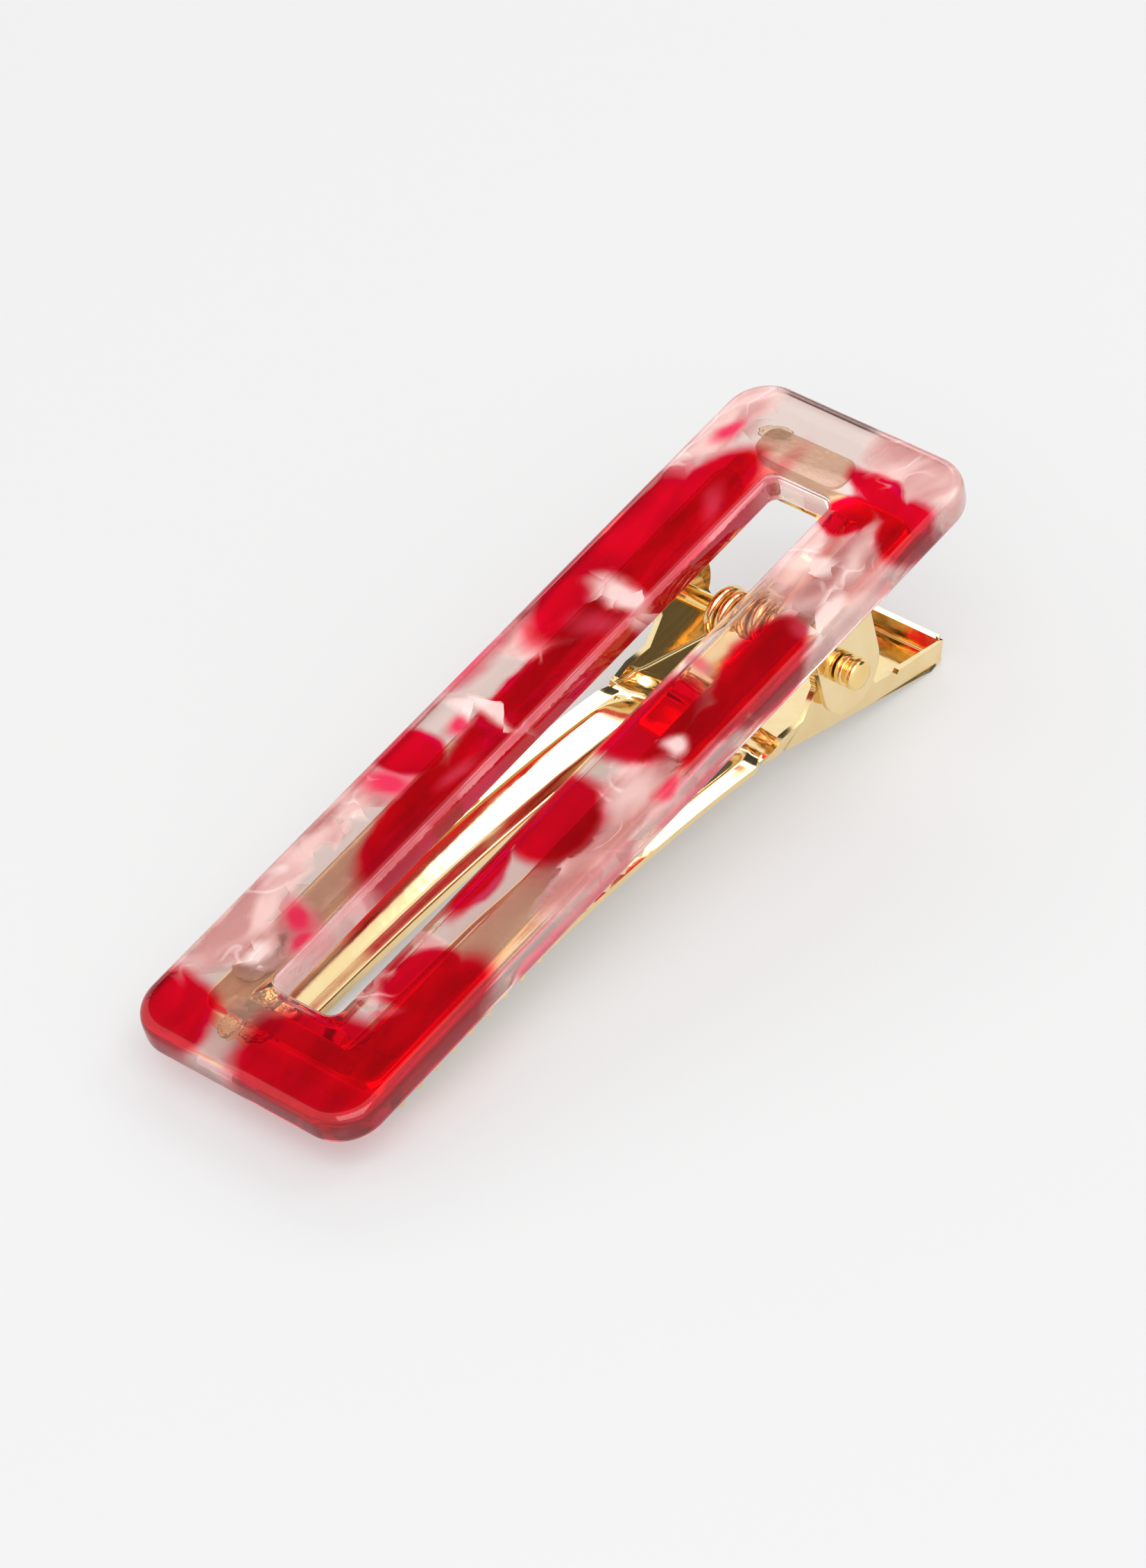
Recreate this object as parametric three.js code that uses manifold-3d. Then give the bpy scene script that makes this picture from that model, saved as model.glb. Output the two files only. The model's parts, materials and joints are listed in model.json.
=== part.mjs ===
// Hair barrette: a marbled acetate frame glued to a sprung, toothed metal clip.
//
// Everything is drawn in clip space, in millimetres: X across the clip from its
// middle, Y along it from the front edge of the frame towards the finger lever,
// Z up from the underside of the frame, which is the glue plane. At the end the
// whole clip is tipped so that it stands on its lever heel and its front teeth.
import * as THREE from 'three';
import { mergeVertices } from 'three/addons/utils/BufferGeometryUtils.js';
import Module from 'manifold-3d';

const wasm = await Module();
wasm.setup();

// ---- driving dimensions ---------------------------------------------------

// acetate frame
const frameWidth = 22;
const frameLength = 74.5;
const frameThick = 2.8;
const frameCorner = 3.6;
const frameFillet = 0.5;
const windowWidth = 6.2;
const windowCorner = 1.0;
const frontBar = 8.0;
const backBar = 8.1;

// stamped sheet and the adhesive film between the frame and the upper arm
const sheet = 0.5;
const filmThick = 0.25;
const filmGap = 0.1;

// upper arm: a hollow plate under the frame with walls turned down round it
const armSideInset = 2.5;
const armFrontInset = 5.0;
const armBackInset = 5.1;
const armCorner = 1.6;
const railWidth = 3.3;
const armFrontBar = 2.2;
const armBackBar = 2.5;
const wallDrop = 1.65;
const toothDrop = 0.85;
const toothPitch = 2.0;
const toothedLength = 30;

// pivot: its place, the pin and its riveted heads
const pivotFromBack = 15.9;
const pivotDrop = 5.25;
const pinRadius = 0.78;
const holeClearance = 0.1;
const headRadius = 1.3;
const headLength = 1.8;
const farHeadLength = 1.0;
const sideClearance = 0.12;

// upper ear: a tongue of the side wall that hangs below the pivot
const earRadius = 3.3;
const earBehindPivot = 0.8;
const earBelowPivot = 1.45;

// lower arm: finger lever, side walls and hollow jaw
const armClearance = 0.25;
const leverReach = 11.6;
const leverHeelDrop = 11.05;
const neckAhead = 7.9;
const neckDrop = 3.0;
const leverWall = 1.6;
const lipHeight = 1.8;
const lipLean = 0.35;
const lowerEarRadius = 2.4;
const jawTipClearance = 0.4;
const jawTipDrop = 2.65;
const jawRail = 4.8;
const jawFrontBar = 3.6;
const jawWindowBehindNeck = 4.6;
const jawFlange = 1.45;
const ribHeight = 0.75;
const ribCrown = 1.1;
const ribSlope = 1.5;
const ribInset = 0.15;
const ribSunk = 0.2;

// torsion spring
const wireRadius = 0.45;
const coilRadius = 1.75;
const coilLength = 7.4;
const coilTurns = 7;
const legClearance = 0.3;
const legSidestep = 0.2;

// ---- sizes that follow ----------------------------------------------------

const armHalf = frameWidth / 2 - armSideInset;
const armFront = armFrontInset;
const armBack = frameLength - armBackInset;
const plateTop = -(filmThick + 2 * filmGap);
const plateBottom = plateTop - sheet;
const wallBottom = plateBottom - wallDrop;
const toothTip = wallBottom - toothDrop;
const pivotY = frameLength - pivotFromBack;
const pivotZ = -pivotDrop;
const lowerHalf = armHalf - sheet - armClearance;
const heel = new THREE.Vector2(pivotY + leverReach, pivotZ - leverHeelDrop);
const neck = new THREE.Vector2(pivotY - neckAhead, pivotZ - neckDrop);
const jawTip = new THREE.Vector2(armFront + sheet + jawTipClearance, -jawTipDrop - sheet);

const gold = { color: 0xe3b567, roughness: 0.16, metalness: 1 };

// ---- helpers --------------------------------------------------------------

// A closed mesh as a manifold solid, with its shared corners merged.
function solid(geometry) {
  const bare = geometry.clone();
  bare.deleteAttribute('normal');
  bare.deleteAttribute('uv');
  const merged = mergeVertices(bare, 1e-5);
  return new wasm.Manifold(new wasm.Mesh({
    numProp: 3,
    vertProperties: new Float32Array(merged.attributes.position.array),
    triVerts: new Uint32Array(merged.index.array),
  }));
}

function geometryOf(body) {
  const mesh = body.getMesh();
  const geometry = new THREE.BufferGeometry();
  geometry.setAttribute('position', new THREE.BufferAttribute(mesh.vertProperties, 3));
  geometry.setIndex(new THREE.BufferAttribute(mesh.triVerts, 1));
  geometry.computeVertexNormals();
  return geometry;
}

function union(bodies) {
  return bodies.reduce((whole, body) => whole.add(body));
}

// A (y, z) outline made solid from one x to another.
function acrossX(shape, fromX, toX) {
  const geometry = new THREE.ExtrudeGeometry(shape, { depth: toX - fromX, bevelEnabled: false });
  const turn = new THREE.Matrix4().makeBasis(
    new THREE.Vector3(0, 1, 0),
    new THREE.Vector3(0, 0, 1),
    new THREE.Vector3(1, 0, 0),
  );
  geometry.applyMatrix4(turn);
  geometry.translate(fromX, 0, 0);
  return solid(geometry);
}

// An (x, z) outline made solid from one y to another.
function alongY(shape, fromY, toY) {
  const geometry = new THREE.ExtrudeGeometry(shape, { depth: toY - fromY, bevelEnabled: false });
  geometry.rotateX(Math.PI / 2);
  geometry.translate(0, toY, 0);
  return solid(geometry);
}

// An (x, y) outline made solid from one z to another.
function upZ(shape, fromZ, toZ) {
  const geometry = new THREE.ExtrudeGeometry(shape, {
    depth: toZ - fromZ,
    bevelEnabled: false,
    curveSegments: 6,
  });
  geometry.translate(0, 0, fromZ);
  return solid(geometry);
}

// A round bar along X on the pivot, for the holes that the pin runs in.
function pivotBar(radius, halfLength) {
  const geometry = new THREE.CylinderGeometry(radius, radius, 2 * halfLength, 24);
  geometry.rotateZ(Math.PI / 2);
  geometry.translate(0, pivotY, pivotZ);
  return solid(geometry);
}

function roundedRect(path, left, bottom, right, top, radius) {
  path.moveTo(left + radius, bottom);
  path.lineTo(right - radius, bottom);
  path.absarc(right - radius, bottom + radius, radius, -Math.PI / 2, 0, false);
  path.lineTo(right, top - radius);
  path.absarc(right - radius, top - radius, radius, 0, Math.PI / 2, false);
  path.lineTo(left + radius, top);
  path.absarc(left + radius, top - radius, radius, Math.PI / 2, Math.PI, false);
  path.lineTo(left, bottom + radius);
  path.absarc(left + radius, bottom + radius, radius, Math.PI, 1.5 * Math.PI, false);
  return path;
}

// The outline of a sheet of even thickness whose underside follows the points.
function ribbonShape(points, thick) {
  const upper = points.map((point, i) => {
    const before = points[Math.max(i - 1, 0)];
    const after = points[Math.min(i + 1, points.length - 1)];
    const into = point.clone().sub(before).normalize();
    const out = after.clone().sub(point).normalize();
    const along = into.clone().add(out).normalize();
    const side = new THREE.Vector2(along.y, -along.x);
    const bend = Math.max(along.dot(i ? into : out), 0.5);
    return point.clone().addScaledVector(side, thick / bend);
  });
  return new THREE.Shape([...points, ...upper.reverse()]);
}

// ---- acetate frame --------------------------------------------------------

function acetateFrame() {
  const half = frameWidth / 2 - frameFillet;
  const corner = frameCorner - frameFillet;
  const outline = roundedRect(
    new THREE.Shape(), -half, frameFillet, half, frameLength - frameFillet, corner);
  const hole = roundedRect(
    new THREE.Path(),
    -windowWidth / 2 - frameFillet,
    frontBar - frameFillet,
    windowWidth / 2 + frameFillet,
    frameLength - backBar + frameFillet,
    windowCorner + frameFillet,
  );
  outline.holes.push(hole);
  const geometry = new THREE.ExtrudeGeometry(outline, {
    depth: frameThick - 2 * frameFillet,
    bevelThickness: frameFillet,
    bevelSize: frameFillet,
    bevelSegments: 3,
    curveSegments: 8,
  });
  geometry.translate(0, 0, frameFillet);
  return geometry;
}

// Films of adhesive, where the upper arm meets the frame.
function adhesiveFilm(left, front, right, back) {
  const radius = 0.7;
  const shape = roundedRect(new THREE.Shape(), left, front, right, back, radius);
  const geometry = new THREE.ExtrudeGeometry(shape, {
    depth: filmThick,
    bevelEnabled: false,
    curveSegments: 4,
  });
  geometry.translate(0, 0, plateTop + filmGap);
  return geometry;
}

// ---- upper arm ------------------------------------------------------------

function upperPlate() {
  const outline = roundedRect(new THREE.Shape(), -armHalf, armFront, armHalf, armBack, armCorner);
  const inner = armHalf - railWidth;
  outline.holes.push(roundedRect(
    new THREE.Path(), -inner, armFront + armFrontBar, inner, armBack - armBackBar, 1));
  return upZ(outline, plateBottom, plateTop);
}

// Side wall in (y, z): straight at the back, an ear round the pivot, teeth in front.
function upperWallShape() {
  const earY = pivotY + earBehindPivot;
  const earZ = pivotZ - earBelowPivot;
  const start = armFront + armCorner;
  const teeth = Math.floor(toothedLength / toothPitch);
  const shape = new THREE.Shape();
  shape.moveTo(start, plateTop);
  shape.lineTo(start, wallBottom);
  for (let i = 0; i < teeth; i += 1) {
    const root = start + i * toothPitch;
    shape.lineTo(root + 0.35 * toothPitch, toothTip);
    shape.lineTo(root + 0.65 * toothPitch, toothTip);
    shape.lineTo(root + toothPitch, wallBottom);
  }
  shape.lineTo(earY - earRadius - 0.6, wallBottom);
  shape.absarc(earY, earZ, earRadius, Math.PI, 2 * Math.PI, false);
  shape.lineTo(earY + earRadius, wallBottom);
  shape.lineTo(armBack - armCorner, wallBottom);
  shape.lineTo(armBack - armCorner, plateTop);
  return shape;
}

// Front wall in (x, z), with the same teeth.
function upperFrontShape() {
  const half = armHalf - armCorner;
  const teeth = Math.floor((2 * half) / toothPitch);
  const first = (-teeth * toothPitch) / 2;
  const shape = new THREE.Shape();
  shape.moveTo(-half, plateTop);
  shape.lineTo(-half, wallBottom);
  for (let i = 0; i < teeth; i += 1) {
    const root = first + i * toothPitch;
    shape.lineTo(root, wallBottom);
    shape.lineTo(root + 0.35 * toothPitch, toothTip);
    shape.lineTo(root + 0.65 * toothPitch, toothTip);
    shape.lineTo(root + toothPitch, wallBottom);
  }
  shape.lineTo(half, wallBottom);
  shape.lineTo(half, plateTop);
  return shape;
}

// Quarter of a bent-round corner between the front wall and a side wall.
function upperCorner(side) {
  const shape = new THREE.Shape();
  const centreX = side * (armHalf - armCorner);
  const centreY = armFront + armCorner;
  const from = side > 0 ? 1.5 * Math.PI : Math.PI;
  const to = from + Math.PI / 2;
  shape.absarc(centreX, centreY, armCorner, from, to, false);
  shape.absarc(centreX, centreY, armCorner - sheet, to, from, true);
  return upZ(shape, wallBottom, plateTop);
}

function upperArm() {
  const wall = upperWallShape();
  const body = union([
    upperPlate(),
    acrossX(wall, armHalf - sheet, armHalf),
    acrossX(wall, -armHalf, -armHalf + sheet),
    alongY(upperFrontShape(), armFront, armFront + sheet),
    upperCorner(1),
    upperCorner(-1),
  ]);
  return geometryOf(body.subtract(pivotBar(pinRadius + holeClearance, frameWidth)));
}

// ---- lower arm ------------------------------------------------------------

// Underside of the jaw: a curve that leaves the neck steeply and levels out.
function jawCurve() {
  const bendY = neck.x - 0.36 * (neck.x - jawTip.x);
  const bendZ = jawTip.y - 0.75;
  return new THREE.QuadraticBezierCurve(neck, new THREE.Vector2(bendY, bendZ), jawTip);
}

// Underside of the whole arm in (y, z), from the top of the back lip to the jaw tip.
function lowerUnderside() {
  return [
    new THREE.Vector2(heel.x + lipLean, heel.y + lipHeight),
    new THREE.Vector2(heel.x + 0.1, heel.y + 0.5),
    new THREE.Vector2(heel.x - 0.3, heel.y + 0.12),
    ...jawCurve().getPoints(16),
  ];
}

// Side wall in (y, z): the lever's low flange, the ear, and the slope to the neck.
function lowerWallShape() {
  const rise = (neck.y - heel.y) / (heel.x - neck.x);
  const floorAt = (y) => heel.y + (heel.x - y) * rise;
  const flangeEnd = pivotY + lowerEarRadius + 1;
  const shape = new THREE.Shape();
  shape.moveTo(neck.x - 1.2, neck.y + 0.3);
  shape.lineTo(neck.x, floorAt(neck.x) + 0.05);
  shape.lineTo(heel.x - 0.5, floorAt(heel.x - 0.5) + 0.05);
  shape.lineTo(heel.x - 0.1, heel.y + 0.6);
  shape.lineTo(heel.x + 0.1, heel.y + leverWall);
  shape.lineTo(flangeEnd, floorAt(flangeEnd) + leverWall);
  shape.lineTo(pivotY + lowerEarRadius, pivotZ - 1);
  shape.absarc(pivotY, pivotZ, lowerEarRadius, 0, Math.PI, false);
  shape.lineTo(pivotY - lowerEarRadius, pivotZ - 0.5);
  shape.lineTo(pivotY - 4.4, pivotZ - 2.2);
  shape.lineTo(pivotY - 6.7, pivotZ - 1.85);
  shape.lineTo(pivotY - 8.1, pivotZ - 2.15);
  shape.lineTo(neck.x - 1.2, neck.y + 0.75);
  return shape;
}

// One raised rib, pressed along a side rail of the jaw beside its window.
function jawRib(side) {
  const lift = sheet;
  const underside = jawCurve();
  const from = 0.1;
  const to = 0.97;
  const points = [];
  for (let i = 0; i <= 12; i += 1) {
    const at = underside.getPoint(to + ((from - to) * i) / 12);
    points.push(new THREE.Vector3(0, at.x, at.y + lift));
  }
  const foot = jawRail - jawFlange - ribInset;
  const section = new THREE.Shape([
    new THREE.Vector2(0, -ribSunk),
    new THREE.Vector2(foot - ribSunk, -ribSunk),
    new THREE.Vector2(foot, 0),
    new THREE.Vector2(ribCrown + ribSlope, ribHeight),
    new THREE.Vector2(ribSlope, ribHeight),
    new THREE.Vector2(0, 0),
  ]);
  const geometry = new THREE.ExtrudeGeometry(section, {
    steps: 24,
    extrudePath: new THREE.CatmullRomCurve3(points),
  });
  // the sweep lays the section's x along -X; the left rib is the mirror of the right one
  geometry.translate(lowerHalf - jawFlange, 0, 0);
  const right = solid(geometry);
  return side > 0 ? right : right.mirror([1, 0, 0]);
}

function lowerArm() {
  const ribbon = ribbonShape(lowerUnderside(), sheet);
  const wall = lowerWallShape();
  const inner = lowerHalf - jawRail;
  const windowShape = roundedRect(
    new THREE.Shape(),
    -inner,
    jawTip.x + jawFrontBar,
    inner,
    neck.x - jawWindowBehindNeck,
    1,
  );
  const body = union([
    acrossX(ribbon, -lowerHalf, lowerHalf),
    acrossX(wall, lowerHalf - sheet, lowerHalf),
    acrossX(wall, -lowerHalf, -lowerHalf + sheet),
    jawRib(1),
    jawRib(-1),
  ]);
  return geometryOf(body
    .subtract(upZ(windowShape, heel.y, plateBottom))
    .subtract(pivotBar(pinRadius + holeClearance, frameWidth)));
}

// ---- pivot pin ------------------------------------------------------------

function pivotPin() {
  const face = armHalf + sideClearance;
  const end = face + headLength;
  const farEnd = -face - farHeadLength;
  const alongHead = (share) => face + share * headLength;
  const profile = [
    [0, farEnd],
    [0.6 * headRadius, farEnd + 0.1],
    [headRadius, farEnd + 0.5],
    [headRadius, -face],
    [pinRadius, -face],
    [pinRadius, face],
    [headRadius, face],
    [headRadius, alongHead(0.4)],
    [0.8 * headRadius, alongHead(0.44)],
    [0.8 * headRadius, alongHead(0.54)],
    [headRadius, alongHead(0.58)],
    [headRadius, alongHead(0.82)],
    [0.75 * headRadius, alongHead(0.95)],
    [0, end],
  ];
  const geometry = new THREE.LatheGeometry(profile.map(([r, x]) => new THREE.Vector2(r, x)), 24);
  geometry.rotateZ(-Math.PI / 2);
  geometry.translate(0, pivotY, pivotZ);
  return geometry;
}

// ---- torsion spring -------------------------------------------------------

// Where the two legs end, measured from the pivot in (y, z).
function lowerLegEnd() {
  const rise = (neck.y - heel.y) / (heel.x - neck.x);
  const y = leverReach - 2.6;
  const floorTop = -leverHeelDrop + (leverReach - y) * rise + sheet * 1.1;
  return new THREE.Vector2(y, floorTop + wireRadius + legClearance);
}

function upperLegEnd() {
  const y = armBack - armBackBar / 2 - pivotY;
  return new THREE.Vector2(y, plateBottom - pivotZ - wireRadius - legClearance);
}

// Angle on the coil where a straight leg to the given end leaves it.
function leaveAngle(end, turn) {
  const swing = Math.acos(coilRadius / end.length());
  return end.angle() + turn * swing;
}

function coilPoint(angle, x) {
  return new THREE.Vector3(
    x,
    pivotY + coilRadius * Math.cos(angle),
    pivotZ + coilRadius * Math.sin(angle),
  );
}

function wire(points, steps) {
  const section = new THREE.Shape();
  section.absarc(0, 0, wireRadius, 0, 2 * Math.PI, false);
  return new THREE.ExtrudeGeometry(section, {
    steps,
    curveSegments: 4,
    extrudePath: new THREE.CatmullRomCurve3(points, false, 'centripetal'),
  });
}

// Coil with its lower leg, which presses on the lever's floor.
function springCoil() {
  const end = lowerLegEnd();
  const startAngle = leaveAngle(end, -1);
  const stopAngle = leaveAngle(upperLegEnd(), 1) - 2 * Math.PI * coilTurns;
  const perTurn = 12;
  const count = coilTurns * perTurn;
  const startX = -coilLength / 2 + wireRadius;
  const points = [new THREE.Vector3(startX, pivotY + end.x, pivotZ + end.y)];
  const first = coilPoint(startAngle, startX);
  points.push(points[0].clone().lerp(first, 0.5));
  for (let i = 0; i <= count; i += 1) {
    const part = i / count;
    const angle = startAngle + (stopAngle - startAngle) * part;
    points.push(coilPoint(angle, startX + (coilLength - 2 * wireRadius) * part));
  }
  return wire(points, count + 8);
}

// Upper leg, which presses on the back bar of the upper arm. It stands a little outside the
// last turn, so that turn passes it as the coil winds with the lever.
function springUpperLeg() {
  const end = upperLegEnd();
  const x = coilLength / 2 - wireRadius + legSidestep;
  const root = coilPoint(leaveAngle(end, 1), x);
  const tip = new THREE.Vector3(x, pivotY + end.x, pivotZ + end.y);
  const away = tip.clone().sub(root).normalize();
  root.addScaledVector(away, legClearance);
  return wire([root, root.clone().lerp(tip, 0.5), tip], 6);
}

// ---- assembly -------------------------------------------------------------

const group = new THREE.Group();

function add(name, geometry, look) {
  const mesh = new THREE.Mesh(geometry, new THREE.MeshStandardMaterial(look));
  mesh.name = name;
  group.add(mesh);
}

const acetate = { color: 0xc8102a, roughness: 0.08, metalness: 0 };
const glue = { color: 0xe0c79c, roughness: 0.4, metalness: 0 };
const filmInner = armHalf - railWidth + 0.4;
const filmOuter = armHalf - 0.4;
const filmFront = armFront + armFrontBar + 0.3;
const filmBack = armBack - armBackBar - 0.3;

add('acetate_frame', acetateFrame(), acetate);
add('adhesive_left', adhesiveFilm(-filmOuter, filmFront, -filmInner, filmBack), glue);
add('adhesive_right', adhesiveFilm(filmInner, filmFront, filmOuter, filmBack), glue);
add('adhesive_front', adhesiveFilm(-filmOuter, armFront + 0.3, filmOuter, filmFront - 0.3), glue);
add('adhesive_back', adhesiveFilm(-filmOuter, filmBack + 0.3, filmOuter, armBack + 1.8), glue);
add('upper_arm', upperArm(), gold);
add('lower_arm', lowerArm(), gold);
add('pivot_pin', pivotPin(), gold);
add('spring_coil', springCoil(), gold);
add('spring_upper_leg', springUpperLeg(), gold);

// Tip the clip onto its lever heel and front teeth, then centre it over the origin.
const restTilt = Math.atan2(toothTip - heel.y, heel.x - armFront);
const box = new THREE.Box3();
for (const mesh of group.children) {
  mesh.geometry.rotateX(restTilt);
  mesh.geometry.computeBoundingBox();
  box.union(mesh.geometry.boundingBox);
}
for (const mesh of group.children) {
  mesh.geometry.translate(
    -(box.min.x + box.max.x) / 2,
    -(box.min.y + box.max.y) / 2,
    -box.min.z,
  );
}

export default group;
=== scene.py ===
import json
import math

import bmesh
import bpy
from mathutils import Matrix, Vector, noise


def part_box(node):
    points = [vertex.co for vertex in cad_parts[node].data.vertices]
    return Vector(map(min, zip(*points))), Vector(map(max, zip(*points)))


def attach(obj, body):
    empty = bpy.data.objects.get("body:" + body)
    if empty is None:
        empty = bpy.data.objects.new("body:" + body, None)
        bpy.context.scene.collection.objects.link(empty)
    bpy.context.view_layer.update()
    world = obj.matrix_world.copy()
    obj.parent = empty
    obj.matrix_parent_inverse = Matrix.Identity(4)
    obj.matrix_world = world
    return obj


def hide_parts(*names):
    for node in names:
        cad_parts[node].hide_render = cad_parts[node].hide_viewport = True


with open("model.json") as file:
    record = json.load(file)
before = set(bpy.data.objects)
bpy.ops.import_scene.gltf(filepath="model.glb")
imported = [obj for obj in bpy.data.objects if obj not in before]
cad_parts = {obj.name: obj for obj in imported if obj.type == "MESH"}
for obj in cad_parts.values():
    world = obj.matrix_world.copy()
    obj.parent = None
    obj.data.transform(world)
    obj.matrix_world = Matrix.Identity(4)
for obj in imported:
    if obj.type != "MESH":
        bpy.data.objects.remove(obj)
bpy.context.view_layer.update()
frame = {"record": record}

# Pieces are shaped in millimetres on the clip itself: X across, Y from the front edge towards the
# lever, Z up from the underside of the acetate. One matrix seats them in the shared frame.
body = {
    "width": 22.0, "length": 74.5, "thick": 2.8, "corner": 3.6, "rim": 0.85,
    "windowWidth": 6.2, "windowCorner": 1.0, "windowRim": 0.32, "frontBar": 8.0, "backBar": 8.1,
}
mount = next(m for m in frame["record"]["mounts"] if m["name"] == "front_bar_face")
hinge = frame["record"]["behaviour"]["joints"][0]
tilt = math.atan2(-mount["axis"][1], mount["axis"][2])
frameLow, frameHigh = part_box("acetate_frame")
middleX = (frameLow[0] + frameHigh[0]) / 2
mountOnClip = Vector((0.0, body["frontBar"] / 2, body["thick"]))  # on the front bar's top face
turned = Matrix.Rotation(tilt, 4, "X")
seatAt = Vector((middleX, mount["pos_m"][1], mount["pos_m"][2])) - turned @ (mountOnClip * 0.001)
clipToWorld = Matrix.Translation(seatAt) @ turned @ Matrix.Scale(0.001, 4)
pivot = clipToWorld.inverted() @ Vector(hinge["pos_m"])
pivotY, pivotZ = pivot.y, pivot.z


def fromHex(code):
    parts = [int(code[i:i + 2], 16) / 255 for i in (1, 3, 5)]
    return tuple(c / 12.92 if c <= 0.04045 else ((c + 0.055) / 1.055) ** 2.4 for c in parts) + (1.0,)


# materials: every pattern is laid out in millimetres on the clip

def addNode(tree, kind, inputs=None, **settings):
    node = tree.nodes.new(kind)
    for name, value in settings.items():
        setattr(node, name, value)
    for key, value in (inputs or {}).items():
        if isinstance(value, bpy.types.NodeSocket):
            tree.links.new(value, node.inputs[key])
        else:
            node.inputs[key].default_value = value
    return node


def newMaterial(name):
    material = bpy.data.materials.new(name)
    material.use_nodes = True
    tree = material.node_tree
    tree.nodes.clear()
    return material, tree


def clipPlace(tree, scale=(1.0, 1.0, 1.0)):
    # millimetres on the clip, whatever way it lies in the frame
    coords = addNode(tree, "ShaderNodeTexCoord")
    seat = addNode(tree, "ShaderNodeMapping", {
        "Vector": coords.outputs["Object"], "Location": seatAt,
        "Rotation": (tilt, 0.0, 0.0), "Scale": (0.001, 0.001, 0.001)}, vector_type="TEXTURE")
    if scale == (1.0, 1.0, 1.0):
        return seat.outputs[0]
    return addNode(tree, "ShaderNodeMapping", {"Vector": seat.outputs[0], "Scale": scale}).outputs[0]


def finishMaterial(tree, shader):
    addNode(tree, "ShaderNodeOutputMaterial", {"Surface": shader.outputs[0]})


def facingUp(tree):
    # 1 on a face that looks the way the acetate's top does, 0 on an upright one
    normal = addNode(tree, "ShaderNodeNewGeometry").outputs["Normal"]
    return addNode(tree, "ShaderNodeVectorMath", {0: normal, 1: mount["axis"]},
                   operation="DOT_PRODUCT").outputs["Value"]


def times(tree, one, other):
    return addNode(tree, "ShaderNodeMath", {0: one, 1: other}, operation="MULTIPLY").outputs[0]


def soften(tree, field, low, high, to=1.0):
    return addNode(tree, "ShaderNodeMapRange", {
        "Value": field, "From Min": low, "From Max": high, "To Min": 0.0, "To Max": to},
        interpolation_type="SMOOTHSTEP").outputs[0]


def blendColour(tree, share, under, over):
    return addNode(tree, "ShaderNodeMix", {0: share, 6: under, 7: over},
                   data_type="RGBA").outputs[2]


def blendValue(tree, share, under, over):
    return addNode(tree, "ShaderNodeMix", {0: share, 2: under, 3: over}).outputs[0]


plating = {
    # colours, roughness range, drawing marks per mm along each axis, how deep they show,
    # swell of the sheet (per mm along each axis, height in m) and extra roughness of a bonded face
    "arm": {"colour": ("#fae6b8", "#f2d59c"), "roughness": (0.07, 0.2), "drawn": (2.2, 0.12, 2.2),
            "grain": 0.12, "swell": ((1.5, 0.12, 1.5), 0.0004), "dulled": 0.24},
    "jaw": {"colour": ("#fbe7b8", "#f3d598"), "roughness": (0.05, 0.17), "drawn": (1.6, 0.08, 1.6),
            "grain": 0.08, "swell": ((1.0, 1.0, 1.0), 0.0001), "dulled": 0.0},
    "pin": {"colour": ("#fbdf9c", "#f3cd82"), "roughness": (0.06, 0.2), "drawn": (9.0, 1.2, 1.2),
            "grain": 0.3, "swell": ((1.0, 1.0, 1.0), 0.0001), "dulled": 0.0},
    "wire": {"colour": ("#f6d6a0", "#e6b97c"), "roughness": (0.08, 0.2), "drawn": (4.0, 4.0, 4.0),
             "grain": 0.3, "swell": ((1.0, 1.0, 1.0), 0.0001), "dulled": 0.0},
}


def goldPlate(name, finish):
    # polished steel under thin pale gold plate: a mirror with faint drawing marks and a slight
    # swell; a dulled one has its bonded top face roughened, so it glows cream through the acetate
    material, tree = newMaterial(name)
    marks = addNode(tree, "ShaderNodeTexNoise", {
        "Vector": clipPlace(tree, finish["drawn"]), "Scale": 1.0, "Detail": 3.0, "Roughness": 0.6})
    waves = addNode(tree, "ShaderNodeTexNoise", {
        "Vector": clipPlace(tree), "Scale": 0.45, "Detail": 2.0})
    rough = addNode(tree, "ShaderNodeMapRange", {
        "Value": marks.outputs["Fac"], "From Min": 0.3, "From Max": 0.75,
        "To Min": finish["roughness"][0], "To Max": finish["roughness"][1]})
    if finish["dulled"]:
        flat = addNode(tree, "ShaderNodeMapRange", {
            "Value": facingUp(tree), "From Min": 0.93, "From Max": 0.99,
            "To Min": 0.0, "To Max": finish["dulled"]})
        rough = addNode(tree, "ShaderNodeMath", {0: rough.outputs[0], 1: flat.outputs[0]},
                        operation="ADD")
    swell, height = finish["swell"]
    rolled = addNode(tree, "ShaderNodeTexNoise", {
        "Vector": clipPlace(tree, swell), "Scale": 0.45, "Detail": 2.0})
    sway = addNode(tree, "ShaderNodeBump", {
        "Height": rolled.outputs["Fac"], "Strength": 0.2, "Distance": height})
    bump = addNode(tree, "ShaderNodeBump", {
        "Height": marks.outputs["Fac"], "Normal": sway.outputs[0], "Strength": finish["grain"],
        "Distance": 0.00002})
    tint = blendColour(tree, waves.outputs["Fac"], *(fromHex(code) for code in finish["colour"]))
    shader = addNode(tree, "ShaderNodeBsdfPrincipled", {
        "Base Color": tint, "Metallic": 1.0, "Roughness": rough.outputs[0],
        "Normal": bump.outputs[0]})
    finishMaterial(tree, shader)
    return material


armGold = goldPlate("goldPlatedPressedSteel", plating["arm"])
jawGold = goldPlate("goldPlatedDrawnSteel", plating["jaw"])
pinGold = goldPlate("goldPlatedTurnedPin", plating["pin"])
wireGold = goldPlate("goldPlatedSpringWire", plating["wire"])

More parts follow.
